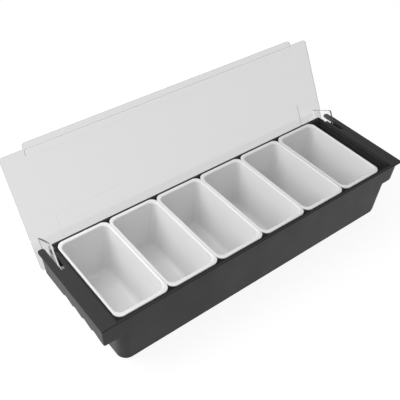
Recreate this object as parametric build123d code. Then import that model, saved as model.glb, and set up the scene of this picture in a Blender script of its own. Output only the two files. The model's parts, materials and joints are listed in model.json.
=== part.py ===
from build123d import *
import os
from math import cos, radians, sin, tan

# Bar garnish tray: a black moulded tray that stands on its base, six loose white inserts
# that hang in it side by side by their rims, and one clear lid that turns on two pins
# at the back. The lid is shown thrown right back, resting on its stops.
# X runs along the tray, Y from front to back, Z up. The origin is the middle of the base.

# Inserts
insert_count = 6
insert_pitch = 71.8
insert_rim_gap = 0.3
last_insert_gap = 0.8
insert_depth = 136.6
insert_height = 76.0
rim_thickness = 1.5
rim_overhang = 3.5
rim_side_overhang = 1.9
rim_corner_radius = 9.5
rim_edge_radius = 0.6
rim_inner_radius = 1.8
insert_wall = 1.6
insert_floor = 2.0
insert_corner_radius = 10.5
insert_floor_radius_share = 0.94
insert_foot_width = 7.0
insert_foot_height = 0.6

# Tray body
wall_draft_deg = 4.4
right_end_draft_deg = 0.5
wall = 3.3
floor_thickness = 3.0
floor_gap = 8.1
spare_gap = 21.2
insert_clearance = 0.3
insert_end_clearance = 0.9
land_width = 7.9
end_lip = 2.0
ledge_drop = 5.0
body_corner_radius = 14.0
well_corner_radius = 6.0
well_floor_radius_share = 0.67
well_mouth_radius = 0.6
foot_inset = 0.7
foot_ring_width = 5.0
rib_width = 4.0
rib_height = 1.2

# Wings at the two ends, with their grip lips
wing_width = 21.5
plate_thickness = 2.5
plate_corner_radius = 3.0
plate_edge_radius = 1.0
lip_depth = 28.5
lip_wall = 2.5
lip_back_gap = 13.8
left_lip_corner_radius = 2.0
right_lip_corner_radius = 17.6
scallop_count = 4
scallop_pitch = 20.5
scallop_height = 4.6
scallop_front_gap = 9.3
scallop_crest_share = 0.3
scallop_crest_radius = 4.0

# Lid
lid_thickness = 2.2
lid_left_gap = 1.8
lid_right_overhang = 1.8
lid_back_overhang = 2.2
lid_front_gap = 0.8
lid_corner_radius = 5.0
lid_edge_radius = 0.6
finger_lip_reach = 7.1
finger_lip_end_gap = 30.8
finger_lip_corner_radius = 5.0
rest_bead_width = 9.5
rest_bead_height = 2.2
rest_bead_corner_share = 0.33
rest_bead_radius = 1.0
closed_gap = 0.3
panel_depth = 0.6
panel_length = 411.0
panel_back_gap = 10.0
panel_width = 50.0
panel_corner_radius = 3.0
gate_mark_radius = 1.5
gate_mark_height = 0.3
gate_mark_gap = 4.0

# Hinge
open_angle_deg = 118.8
pivot_drop = 14.7
lid_wall_clearance = 0.5
pin_radius = 3.0
pin_length = 5.5
pin_tip_chamfer = 0.6
pin_clearance = 0.2
pin_end_clearance = 0.3
ear_thickness = 2.4
ear_width = 41.0
ear_depth = 36.8
ear_corner_radius = 3.0
ear_edge_radius = 0.4
toe_start = 5.0
toe_width = 7.0
toe_length = 14.9
toe_thickness = 4.0
toe_corner_radius = 1.0
slot_clearance = 2.1
slot_corner_radius = 0.6
strip_width = 9.0
stop_clearance = 0.3
seat_wall = 3.2
seat_floor = 6.0

overrun = 5.0


def lean(drop):
    """How far a drafted face has moved in at this drop below the tray's top."""
    return drop * tan(radians(wall_draft_deg))


def end_lean(side, drop):
    """The same for an end face. The right end stands nearly upright."""
    return drop * tan(radians(right_end_draft_deg)) if side > 0 else lean(drop)


def slanting(block):
    """The four edges of a tapered block that run from its base to its top."""
    return block.edges().group_by(Axis.Z)[1]


def lowest(block):
    return block.edges().group_by(Axis.Z)[0]


def highest(block):
    return block.edges().group_by(Axis.Z)[-1]


def tapered_block(low, high, z_low, z_high):
    """Block between two levels. Each level gives its left, right, front and back ends."""

    def side_face(low_start, low_end, high_start, high_end):
        low_side = ((low_start, z_low), (low_end, z_low))
        high_side = ((high_end, z_high), (high_start, z_high))
        return make_face(Polyline(*low_side, *high_side, close=True))

    along_y = extrude(Plane.XZ * side_face(*low[:2], *high[:2]), amount=tray_y, both=True)
    along_x = extrude(Plane.YZ * side_face(*low[2:], *high[2:]), amount=span_x, both=True)
    return along_y & along_x


def centred(length, depth):
    return -length / 2, length / 2, -depth / 2, depth / 2


def tray_level(drop, inset):
    """Ends of the tray's box at this drop below its top, moved in from its faces by the inset."""
    left = -body_x / 2 + end_lean(-1, drop) + inset
    right = body_x / 2 - end_lean(1, drop) - inset
    front = -tray_y / 2 + lean(drop) + inset
    return left, right, front, -front


def rounded_level(level, radius):
    left, right, front, back = level
    return Pos((left + right) / 2, (front + back) / 2) * RectangleRounded(right - left, back - front, radius)


def top_face(body):
    return body.faces().sort_by(Axis.Z)[-1]


def box_between(x_low, x_high, y_low, y_high, z_low, z_high):
    centre = ((x_low + x_high) / 2, (y_low + y_high) / 2, (z_low + z_high) / 2)
    return Pos(*centre) * Box(x_high - x_low, y_high - y_low, z_high - z_low)


# Sizes that follow from the ones above
tray_height = insert_height - rim_thickness + floor_gap + floor_thickness
well_x = insert_count * insert_pitch + spare_gap
well_y = insert_depth - 2 * (rim_overhang - insert_clearance)
body_x = well_x + 2 * end_lip
tray_y = well_y + 2 * land_width
span_x = well_x + 2 * wing_width
well_drop = tray_height - floor_thickness
plate_under = tray_height - plate_thickness
end_wall_x = body_x / 2 - lean(ledge_drop) - wall
rim_x = insert_pitch - insert_rim_gap
first_insert_x = -end_wall_x + insert_end_clearance - rim_side_overhang + rim_x / 2
insert_lean = lean(insert_height - rim_thickness)
insert_floor_radius = insert_corner_radius * insert_floor_radius_share

strip_inner_x = span_x / 2 - strip_width
ear_outer_x = strip_inner_x - slot_clearance
ear_inner_x = ear_outer_x - ear_thickness
slot_inner_x = ear_inner_x - slot_clearance
pin_tip_x = ear_inner_x - pin_length
seat_radius = pin_radius + pin_clearance
lid_inner_z = tray_height + rim_thickness + closed_gap + rest_bead_height
lid_left_x = -span_x / 2 + lid_left_gap
lid_right_x = span_x / 2 + lid_right_overhang
lid_x = lid_right_x - lid_left_x
lid_middle_x = (lid_left_x + lid_right_x) / 2
hinge_edge_y = tray_y / 2 + lid_back_overhang
front_edge_y = -tray_y / 2 + lid_front_gap

# The pivot lies where the open lid's lower edge just clears the drafted back wall
pivot_z = tray_height - pivot_drop
lid_rise = lid_inner_z - pivot_z
turn = radians(-open_angle_deg)
wall_slope = tan(radians(wall_draft_deg))
wall_in = wall_slope * (pivot_drop - hinge_edge_y * sin(turn) - lid_rise * cos(turn))
edge_back = lid_rise * sin(turn) - hinge_edge_y * cos(turn)
pivot_y = (tray_y / 2 + lid_wall_clearance - wall_in + edge_back) / (1 - cos(turn) + wall_slope * sin(turn))


def opened(y, z):
    """Where a point of the closed lid lies once the lid is thrown right back."""
    dy = y - pivot_y
    dz = z - pivot_z
    return pivot_y + dy * cos(turn) - dz * sin(turn), pivot_z + dy * sin(turn) + dz * cos(turn)


# The toe's end face meets the lower edge of the slot's front end when the lid is open
toe_low = opened(hinge_edge_y - toe_start, lid_inner_z - ear_depth - toe_length)
toe_high = opened(hinge_edge_y - toe_start - toe_width, lid_inner_z - ear_depth - toe_length)
toe_rise = (plate_under - toe_low[1]) / (toe_high[1] - toe_low[1])
slot_front_y = toe_low[0] + toe_rise * (toe_high[0] - toe_low[0]) - stop_clearance
notch_front_y = pivot_y - seat_radius


def insert():
    """One white insert: a flat rim, four leaning walls and a well-rounded floor."""
    wall_x = rim_x - 2 * rim_side_overhang
    wall_y = insert_depth - 2 * rim_overhang
    z_rim = tray_height
    z_top = z_rim + rim_thickness
    z_low = z_top - insert_height
    foot_level = centred(wall_x - 2 * insert_lean, wall_y - 2 * insert_lean)
    outside = tapered_block(foot_level, centred(wall_x, wall_y), z_low, z_rim)
    outside = fillet(slanting(outside), insert_corner_radius)
    outside = fillet(lowest(outside), insert_floor_radius)
    inner_x = wall_x - 2 * insert_wall
    inner_y = wall_y - 2 * insert_wall
    floor_level = centred(inner_x - 2 * insert_lean, inner_y - 2 * insert_lean)
    inside = tapered_block(floor_level, centred(inner_x, inner_y), z_low + insert_floor, z_top)
    inside = fillet(slanting(inside), insert_corner_radius - insert_wall)
    inside = fillet(lowest(inside), insert_floor_radius - insert_wall)
    rim_outline = RectangleRounded(rim_x, insert_depth, rim_corner_radius)
    rim = extrude(Pos(0, 0, z_rim) * rim_outline, amount=rim_thickness)
    body = outside + rim - inside
    body = fillet(top_face(body).inner_wires()[0].edges(), rim_inner_radius)
    body = fillet(top_face(body).outer_wire().edges(), rim_edge_radius)
    inset = 2 * (insert_lean + insert_foot_width)
    hollow = RectangleRounded(wall_x - inset, wall_y - inset, insert_corner_radius - insert_wall)
    return body - extrude(Pos(0, 0, z_low) * hollow, amount=insert_foot_height)


def wing_lip(side, corner_radius):
    """Grip lip under one wing, with the web that carries the tray's front face out to it."""
    drop = plate_thickness
    z_low = tray_height - lip_depth
    outer_x = span_x / 2 - lean(drop)
    back_y = tray_y / 2 - lip_back_gap
    root_x = well_x / 2 - 2 * body_corner_radius

    def block(inset, root, back, radius):
        low_end = outer_x - end_lean(side, lip_depth - drop) - inset
        low = (root, low_end, -tray_y / 2 + lean(lip_depth) + inset, back)
        high = (root, outer_x - inset, -tray_y / 2 + lean(drop) + inset, back)
        solid = tapered_block(low, high, z_low, plate_under)
        corner = slanting(solid).sort_by(Axis.Y)[:2].sort_by(Axis.X)[-1]
        return fillet(corner, radius) if radius > 0 else solid

    shell = block(0, root_x, back_y, corner_radius)
    shell -= block(lip_wall, root_x - overrun, back_y + overrun, max(corner_radius - lip_wall, 0))

    # Finger scallops along the bottom edge, each steep at its back and long at its front
    start_y = -tray_y / 2 + scallop_front_gap + scallop_count * scallop_pitch
    for number in range(scallop_count):
        low_y = start_y - number * scallop_pitch
        crest_y = low_y - scallop_crest_share * scallop_pitch
        next_y = low_y - scallop_pitch
        crest = (crest_y, z_low + scallop_height)
        notch = make_face(Polyline((low_y, z_low), crest, (next_y, z_low), close=True))
        notch = fillet(notch.vertices().sort_by(Axis.Y)[-1], scallop_crest_radius)
        shell -= extrude(Plane.YZ.offset(outer_x - lip_wall - overrun) * notch, amount=2 * overrun)
    return shell if side > 0 else mirror(shell, Plane.YZ)


def seat_lug(side):
    """Block on the end wall, under the notch, that the lid's pin drops into from above."""
    reach = seat_radius + seat_wall
    lug = box_between(
        well_x / 2 - well_corner_radius, slot_inner_x,
        pivot_y - reach, pivot_y + reach,
        pivot_z - seat_radius - seat_floor, plate_under,
    )
    return lug if side > 0 else mirror(lug, Plane.YZ)


def pin_seat(side):
    """Open-topped seat for one pin."""
    start_x = pin_tip_x - pin_end_clearance
    length = slot_inner_x - start_x + pin_end_clearance
    place = Plane.YZ.offset(start_x)
    round_end = extrude(place * Pos(pivot_y, pivot_z) * Circle(seat_radius), amount=length)
    mouth = box_between(
        start_x, start_x + length, pivot_y - seat_radius, pivot_y + seat_radius, pivot_z, tray_height
    )
    seat = round_end + mouth
    return seat if side > 0 else mirror(seat, Plane.YZ)


def wing_cuts(side):
    """Slot for the ear, notch over the pin, and the rounded end of the strip outside the slot."""
    back_y = tray_y / 2
    slot_length = back_y + overrun - slot_front_y
    slot_width = strip_inner_x - slot_inner_x
    slot_place = Pos(slot_inner_x + slot_width / 2, slot_front_y + slot_length / 2)
    slot = slot_place * Rectangle(slot_width, slot_length)
    slot = fillet(slot.vertices().sort_by(Axis.Y)[:2], slot_corner_radius)
    notch_x = slot_inner_x + slot_width / 2 - body_x / 2
    notch_y = back_y + overrun - notch_front_y
    notch = Pos(body_x / 2 + notch_x / 2, notch_front_y + notch_y / 2) * Rectangle(notch_x, notch_y)
    tip_y = back_y - strip_width / 2
    tip = Pos(strip_inner_x + strip_width / 2, tip_y)
    beyond = tip * Pos(0, strip_width) * Rectangle(strip_width + overrun, 2 * strip_width)
    cuts = slot + notch + (beyond - tip * Circle(strip_width / 2))
    cuts = extrude(Pos(0, 0, plate_under) * cuts, amount=plate_thickness + overrun)
    return cuts if side > 0 else mirror(cuts, Plane.YZ)


def tray_body():
    """The black tray, one moulding: box, top plate with two wings, grip lips and pin seats."""
    drop = plate_thickness
    plate_low = centred(span_x - 2 * lean(drop), tray_y - 2 * lean(drop))
    plate = tapered_block(plate_low, centred(span_x, tray_y), plate_under, tray_height)
    plate = fillet(slanting(plate), plate_corner_radius)
    plate = fillet(highest(plate), plate_edge_radius)
    body = tapered_block(tray_level(well_drop, 0), tray_level(drop, 0), floor_thickness, plate_under)
    body = fillet(slanting(body), body_corner_radius)
    foot_level = tray_level(well_drop, foot_inset)
    foot_radius = body_corner_radius - foot_inset
    body += extrude(rounded_level(foot_level, foot_radius), amount=floor_thickness)
    body += wing_lip(-1, left_lip_corner_radius)
    body += wing_lip(1, right_lip_corner_radius)
    for side in (-1, 1):
        plate -= wing_cuts(side)
        body += seat_lug(side)
    body += plate

    mouth = Pos(0, 0, tray_height - ledge_drop) * RectangleRounded(well_x, well_y, well_corner_radius)
    body -= extrude(mouth, amount=ledge_drop + overrun)
    ledge_ends = tray_level(ledge_drop, wall)[:2]
    ledge_level = (*ledge_ends, -well_y / 2, well_y / 2)
    well = tapered_block(tray_level(well_drop, wall), ledge_level, floor_thickness, tray_height - ledge_drop)
    well = fillet(slanting(well), well_corner_radius)
    well = fillet(lowest(well), well_corner_radius * well_floor_radius_share)
    body -= well
    for side in (-1, 1):
        body -= pin_seat(side)

    # The underside stands on a ring and on ribs, one across under each joint between inserts
    ring_inset = foot_inset + foot_ring_width
    field = rounded_level(tray_level(well_drop, ring_inset), body_corner_radius - ring_inset)
    field -= Rectangle(body_x, rib_width)
    for number in range(insert_count + 1):
        field -= Pos((number - insert_count / 2) * insert_pitch, 0) * Rectangle(rib_width, tray_y)
    body -= extrude(field, amount=rib_height)

    return fillet(top_face(body).inner_wires()[0].edges(), well_mouth_radius)


def lid():
    """The clear lid, one moulding: sheet, finger lip, rest bead, two ears with toes and pins."""
    sheet_y = hinge_edge_y - front_edge_y
    middle_y = (hinge_edge_y + front_edge_y) / 2
    outline = Pos(lid_middle_x, middle_y) * RectangleRounded(lid_x, sheet_y, lid_corner_radius)
    finger_x = lid_x - 2 * finger_lip_end_gap
    finger_y = finger_lip_reach + sheet_y / 2
    finger_place = Pos(lid_middle_x, front_edge_y - finger_lip_reach + finger_y / 2)
    outline += finger_place * RectangleRounded(finger_x, finger_y, finger_lip_corner_radius)
    sheet = extrude(Pos(0, 0, lid_inner_z) * outline, amount=lid_thickness)
    sheet = fillet(highest(sheet) + lowest(sheet), lid_edge_radius)

    panel_y = hinge_edge_y - panel_back_gap - panel_width / 2
    panel = RectangleRounded(panel_length, panel_width, panel_corner_radius)
    sheet -= extrude(Pos(0, panel_y, lid_inner_z) * panel, amount=panel_depth)
    gate_y = panel_y - panel_width / 2 - gate_mark_gap
    sheet += extrude(
        Pos(0, gate_y, lid_inner_z) * Circle(gate_mark_radius), amount=gate_mark_height, dir=(0, 0, -1)
    )

    bead_place = Pos(lid_middle_x, front_edge_y + rest_bead_width / 2 + lid_edge_radius)
    bead_corner_radius = rest_bead_width * rest_bead_corner_share
    bead = bead_place * RectangleRounded(finger_x, rest_bead_width, bead_corner_radius)
    bead_top = rest_bead_height + lid_thickness / 2
    bead = extrude(Pos(0, 0, lid_inner_z - rest_bead_height) * bead, amount=bead_top)
    sheet += fillet(lowest(bead), rest_bead_radius)

    # Ears are cut in the YZ plane: u is counted forward from the hinge edge, w down from the sheet
    def profile(u_low, u_high, w_low, w_high):
        place = Pos(hinge_edge_y - (u_low + u_high) / 2, lid_inner_z - (w_low + w_high) / 2)
        return place * Rectangle(u_high - u_low, w_high - w_low)

    ear = profile(0, ear_width, -lid_thickness / 2, ear_depth)
    ear = fillet(ear.vertices().sort_by(Axis.Y)[:2], ear_corner_radius)
    toe = profile(toe_start, toe_start + toe_width, ear_depth - ear_corner_radius, ear_depth + toe_length)
    toe = fillet(toe.vertices().sort_by(Axis.Y)[:2], toe_corner_radius)
    pin = Pos(pivot_y, pivot_z) * Circle(pin_radius)
    arm = extrude(Plane.YZ.offset(ear_inner_x) * ear, amount=ear_thickness)
    arm = fillet(arm.edges(), ear_edge_radius)
    arm += extrude(Plane.YZ.offset(ear_inner_x) * toe, amount=toe_thickness)
    peg = extrude(Plane.YZ.offset(pin_tip_x) * pin, amount=pin_length + ear_thickness / 2)
    arm += chamfer(peg.edges().sort_by(Axis.X)[0], pin_tip_chamfer)
    body = sheet + arm + mirror(arm, Plane.YZ)
    hinge_axis = Axis((0, pivot_y, pivot_z), (1, 0, 0))
    return body.rotate(hinge_axis, -open_angle_deg)


os.makedirs("parts", exist_ok=True)
export_step(tray_body(), "parts/tray_body.step")
export_step(lid(), "parts/lid.step")
one_insert = insert()
for number in range(insert_count):
    stand_off = last_insert_gap if number == insert_count - 1 else 0
    place = Pos(first_insert_x + number * insert_pitch + stand_off, 0, 0)
    export_step(place * one_insert, f"parts/insert_{number + 1}.step")
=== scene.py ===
import json
from math import cos, radians, sin
import bpy
from mathutils import Matrix, Vector


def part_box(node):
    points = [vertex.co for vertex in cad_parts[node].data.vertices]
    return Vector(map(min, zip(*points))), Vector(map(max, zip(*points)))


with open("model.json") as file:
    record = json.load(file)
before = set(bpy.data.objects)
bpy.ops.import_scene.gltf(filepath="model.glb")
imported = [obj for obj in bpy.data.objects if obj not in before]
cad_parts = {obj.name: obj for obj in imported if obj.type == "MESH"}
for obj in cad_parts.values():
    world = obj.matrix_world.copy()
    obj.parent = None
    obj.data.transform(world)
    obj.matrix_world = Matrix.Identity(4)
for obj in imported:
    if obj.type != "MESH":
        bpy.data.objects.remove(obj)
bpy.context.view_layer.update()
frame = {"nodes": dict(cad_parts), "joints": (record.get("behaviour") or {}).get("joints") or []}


# Tray body. The real piece is one black injection moulding: a drafted box with a wing and a grip
# lip at each end, seats for the lid's pins and ribs below. The tool left a fine spark-eroded grain
# on its outside, which makes the sheen dull and broad.

BLACK = (0.040, 0.040, 0.041, 1)
BLACK_RUBBED = (0.050, 0.050, 0.051, 1)
BLACK_PAINTED_SHADE = (0.012, 0.012, 0.0125, 1)
BLACK_INDEX = 1.49
BLACK_SHEEN = 0.12
TRAY_DULLEST = 0.50
TRAY_SHINIEST = 0.36
TRAY_GRAIN = 0.0007
TRAY_GRAIN_DETAIL = 2
TRAY_GRAIN_HEIGHT = 0.00004
TRAY_CLOUD = 0.04
TRAY_CLOUD_DETAIL = 3

# The top beside the inserts' rims gets painted shade over this width. Beyond the end rim there is
# a small gap.
RIM_SHADE_WIDTH = 0.0035
END_RIM_GAP = 0.0004
rim_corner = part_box("insert_1")[0]
rim_shade_x = END_RIM_GAP - rim_corner.x
rim_shade_y = -rim_corner.y

# Rounded edges get painted shade: an edge is painted darkest halfway round, where it has a quarter
# of this.
EDGE_SHADE = 2.4


class Shade:
    """A socket in a tree of shader nodes. A sum written on it adds its nodes to that tree."""

    def __init__(self, tree, socket=None):
        self.tree = tree
        self.socket = socket

    def node(self, kind, settings, sockets, output=0):
        """Adds a node with these settings, and with values or links for its sockets."""
        made = self.tree.nodes.new("ShaderNode" + kind)
        for name, value in settings.items():
            setattr(made, name, value)
        for name, value in sockets.items():
            if isinstance(value, Shade):
                self.tree.links.new(value.socket, made.inputs[name])
            else:
                made.inputs[name].default_value = value
        return Shade(self.tree, made.outputs[output] if made.outputs else None)

    def sum(self, operation, *values):
        return self.node("Math", {"operation": operation}, dict(enumerate(values)))

    def __add__(self, other):
        return self.sum("ADD", self, other)

    def __sub__(self, other):
        return self.sum("SUBTRACT", self, other)

    def __mul__(self, other):
        return self.sum("MULTIPLY", self, other)

    def __rsub__(self, other):
        return self.sum("SUBTRACT", other, self)

    __radd__ = __add__
    __rmul__ = __mul__

    def without_sign(self):
        return self.sum("ABSOLUTE", self)

    def or_larger(self, other):
        return self.sum("MAXIMUM", self, other)

    def along(self, axis):
        """What this place or direction measures along X, Y or Z."""
        return self.node("SeparateXYZ", {}, {"Vector": self}, axis)

    def towards(self, way):
        """What this direction measures along the given way."""
        return self.node("VectorMath", {"operation": "DOT_PRODUCT"}, {0: self, 1: way}, "Value")

    def blend(self, first, second):
        """Goes from the first colour to the second as this value goes from 0 to 1."""
        colours = {"Factor": self, "A": first, "B": second}
        return self.node("Mix", {"data_type": "RGBA"}, colours, "Result")


def place_on_piece(start):
    return start.node("TexCoord", {}, {}, "Object")


def surface_facing(start):
    return start.node("TexCoord", {}, {}, "Normal")


def speckle(start, size, detail):
    """Cloudy marks of about this size in metres, as a value around one half."""
    place = place_on_piece(start)
    return start.node("TexNoise", {}, {"Vector": place, "Scale": 1 / size, "Detail": detail})


def relief(start, height, bumps):
    """The facing of a surface with these bumps, where a value of one is this high in metres."""
    return start.node("Bump", {}, {"Distance": height, "Height": bumps})


def finish(name, make_surface, kept_in=bpy.data.materials, output="OutputMaterial"):
    """A material, or the room, whose surface is what make_surface returns for an empty tree."""
    made = kept_in.new(name)
    made.use_nodes = True
    made.node_tree.nodes.clear()
    start = Shade(made.node_tree)
    start.node(output, {}, {"Surface": make_surface(start)})
    return made


def dress(node, material):
    """Gives a node of the frame its material in every slot."""
    slots = frame["nodes"][node].data.materials
    slots.clear()
    slots.append(material)


def black_moulding(start):
    grain = speckle(start, TRAY_GRAIN, TRAY_GRAIN_DETAIL)
    clouds = speckle(start, TRAY_CLOUD, TRAY_CLOUD_DETAIL)
    upward = surface_facing(start).along("Z")
    level = upward * upward
    # Painted shade on rounded edges, set by how the surface faces.
    painted_edge_shade = level * (1 - level) * EDGE_SHADE
    # Painted shade on the top beside the inserts' rims, and on level faces inside the mouth, set
    # by place.
    place = place_on_piece(start)
    past_end_rim = place.along("X").without_sign() - rim_shade_x
    past_side_rims = place.along("Y").without_sign() - rim_shade_y
    past_rims = past_end_rim.or_larger(past_side_rims)
    painted_rim_shade = level * (1 - past_rims * (1 / RIM_SHADE_WIDTH))
    in_light = clouds.blend(BLACK, BLACK_RUBBED)
    return start.node("BsdfPrincipled", {}, {
        "Base Color": painted_edge_shade.or_larger(painted_rim_shade).blend(in_light, BLACK_PAINTED_SHADE),
        "Roughness": TRAY_DULLEST - clouds * (TRAY_DULLEST - TRAY_SHINIEST),
        "IOR": BLACK_INDEX,
        "Specular IOR Level": BLACK_SHEEN,
        "Normal": relief(start, TRAY_GRAIN_HEIGHT, grain),
    })


dress("tray_body", finish("black_moulding", black_moulding))


# Inserts. Six equal white mouldings of food-safe plastic, loose in the tray. Their tool was
# polished, so the walls are smooth with a soft satin gloss, and light goes a little way into them.

WHITE = (0.83, 0.83, 0.83, 1)
WHITE_DEEP = (0.80, 0.80, 0.805, 1)
WHITE_INDEX = 1.5
WHITE_GLOW_SHARE = 0.15
WHITE_GLOW_REACH = 0.002
WHITE_GLOW_COLOURS = (1, 1, 1)
INSERT_SHINIEST = 0.36
INSERT_DULLEST = 0.44
INSERT_CLOUD = 0.03
INSERT_CLOUD_DETAIL = 2
INSERT_RIPPLE = 0.009
INSERT_RIPPLE_DETAIL = 1
INSERT_RIPPLE_HEIGHT = 0.00002


def white_moulding(start):
    clouds = speckle(start, INSERT_CLOUD, INSERT_CLOUD_DETAIL)
    ripple = speckle(start, INSERT_RIPPLE, INSERT_RIPPLE_DETAIL)
    return start.node("BsdfPrincipled", {}, {
        "Base Color": clouds.blend(WHITE, WHITE_DEEP),
        "Roughness": INSERT_SHINIEST + clouds * (INSERT_DULLEST - INSERT_SHINIEST),
        "IOR": WHITE_INDEX,
        "Subsurface Weight": WHITE_GLOW_SHARE,
        "Subsurface Radius": WHITE_GLOW_COLOURS,
        "Subsurface Scale": WHITE_GLOW_REACH,
        "Normal": relief(start, INSERT_RIPPLE_HEIGHT, ripple),
    })


white = finish("white_moulding", white_moulding)
for name in frame["nodes"]:
    if name.startswith("insert_"):
        dress(name, white)


# Lid. One clear moulding of slightly smoky plastic: a thin sheet with a finger lip and a rest
# bead, and at the back two ears with a stop toe and a hinge pin each. Its tool was polished on
# both sides, so it is glossy, with a trace of haze and faint marks from handling.

SHEET_TINT = (0.705, 0.705, 0.708, 1)
# The edge tint is painted shade on the sheet's edges, and the ear tint is a painted highlight on
# the ears.
SHEET_EDGE_PAINTED_SHADE = (0.59, 0.59, 0.593, 1)
EAR_PAINTED_HIGHLIGHT = (0.93, 0.93, 0.93, 1)
EAR_FACING = (1, 0, 0)
LID_SHADOW = (0.84, 0.84, 0.84, 1)
LID_CLEARNESS = 0.98
LID_INDEX = 1.49
LID_SHINIEST = 0.02
LID_DULLEST = 0.07
LID_MARKS = 0.03
LID_MARKS_DETAIL = 4

# The closed lid faces up, and the hinge's lower limit says how far it is thrown back from there.
lid_hinge = next(joint for joint in frame["joints"] if joint["name"] == "lid_hinge")
thrown_back = radians(-lid_hinge["range_deg"][0])
sheet_facing = (0, sin(thrown_back), cos(thrown_back))


def for_rays(start, *kinds):
    """One for a ray of any of these kinds, and zero for the others."""
    wanted = start.node("LightPath", {}, {}, f"Is {kinds[0]} Ray")
    for kind in kinds[1:]:
        wanted = wanted.or_larger(start.node("LightPath", {}, {}, f"Is {kind} Ray"))
    return wanted


def clear_moulding(start):
    marks = speckle(start, LID_MARKS, LID_MARKS_DETAIL)
    facing = surface_facing(start)
    on_sheet = facing.towards(sheet_facing)
    on_ear = facing.towards(EAR_FACING)
    # Faces across the sheet keep its tint. Edges are painted darker as painted shade, and faces
    # turned sideways (the ears and the sheet's ends) are painted lighter as a painted highlight.
    edge_shade_or_ear_highlight = (on_ear * on_ear).blend(SHEET_EDGE_PAINTED_SHADE, EAR_PAINTED_HIGHLIGHT)
    clear = start.node("BsdfPrincipled", {}, {
        "Base Color": (on_sheet * on_sheet).blend(edge_shade_or_ear_highlight, SHEET_TINT),
        "Roughness": LID_SHINIEST + marks * (LID_DULLEST - LID_SHINIEST),
        "IOR": LID_INDEX,
        "Transmission Weight": LID_CLEARNESS,
    })
    shadow = start.node("BsdfTransparent", {}, {"Color": LID_SHADOW})
    return start.node("MixShader", {}, {0: for_rays(start, "Shadow"), 1: clear, 2: shadow})


dress("lid", finish("clear_moulding", clear_moulding))


# Floor. A wide sheet of white paper that the tray stands on, so that the picture has no edge
# behind it. It keeps the tray's shadow and looks white where it is seen, also through the lid.

FLOOR_REACH = 6.0
PAPER = (0.50, 0.50, 0.50, 1)
PAPER_WHITE = (1, 1, 1, 1)
PAPER_GLOW = 1.45
PAPER_GLOW_SHARE = 0.6


def white_paper(start):
    seen = for_rays(start, "Camera", "Glossy", "Transmission")
    paper = start.node("BsdfDiffuse", {}, {"Color": PAPER})
    glow = start.node("Emission", {}, {"Color": PAPER_WHITE, "Strength": PAPER_GLOW})
    return start.node("MixShader", {}, {0: seen * PAPER_GLOW_SHARE, 1: paper, 2: glow})


bpy.ops.mesh.primitive_plane_add(size=2 * FLOOR_REACH)
floor = bpy.context.object
floor.name = "floor"
floor.data.materials.append(finish("white_paper", white_paper))


# Light. A large soft box up at the left and a little behind, in a pale room that is brightest on
# the same side. The room looks white where it is seen past the paper.

LAMP_PLACE = Vector((-0.56, 0.30, 0.62))
LAMP_SIZE = 0.6
LAMP_POWER = 4.2
ROOM_WHITE = (1, 1, 1, 1)
ROOM_LIGHT = 0.51
ROOM_TILT = 0.22
BRIGHT_SIDE = (-0.9, 0.0, 0.43)

lamp_data = bpy.data.lights.new("soft_box", "AREA")
lamp_data.size = LAMP_SIZE
lamp_data.energy = LAMP_POWER
lamp = bpy.data.objects.new("soft_box", lamp_data)
lamp.location = LAMP_PLACE
lamp.rotation_euler = (-LAMP_PLACE).to_track_quat("-Z", "Y").to_euler()
bpy.context.collection.objects.link(lamp)


def pale_room(start):
    bright_side = start.node("TexCoord", {}, {}, "Generated").towards(BRIGHT_SIDE)
    light_there = ROOM_LIGHT + bright_side * ROOM_TILT
    seen = for_rays(start, "Camera", "Transmission")
    strength = light_there + seen * (1 - light_there)
    return start.node("Background", {}, {"Color": ROOM_WHITE, "Strength": strength})


bpy.context.scene.world = finish("room", pale_room, bpy.data.worlds, "OutputWorld")


# Camera. It stands in front of the tray's left end, well above it, and looks down along it. It is
# held a little askew.

EYE = Vector((-0.4351, -0.4456, 0.6511))
AIM = Vector((-0.0354, 0.0303, 0.0856))
ROLL = radians(2.87)
LENS = 58.23
SENSOR = 36.0

camera_data = bpy.data.cameras.new("camera")
camera_data.sensor_width = SENSOR
camera_data.lens = LENS
camera = bpy.data.objects.new("camera", camera_data)
camera.location = EYE
level_view = (AIM - EYE).to_track_quat("-Z", "Y").to_matrix()
camera.rotation_euler = (level_view @ Matrix.Rotation(ROLL, 3, "Z")).to_euler()
bpy.context.collection.objects.link(camera)
bpy.context.scene.camera = camera
bpy.context.scene.view_settings.view_transform = "Standard"
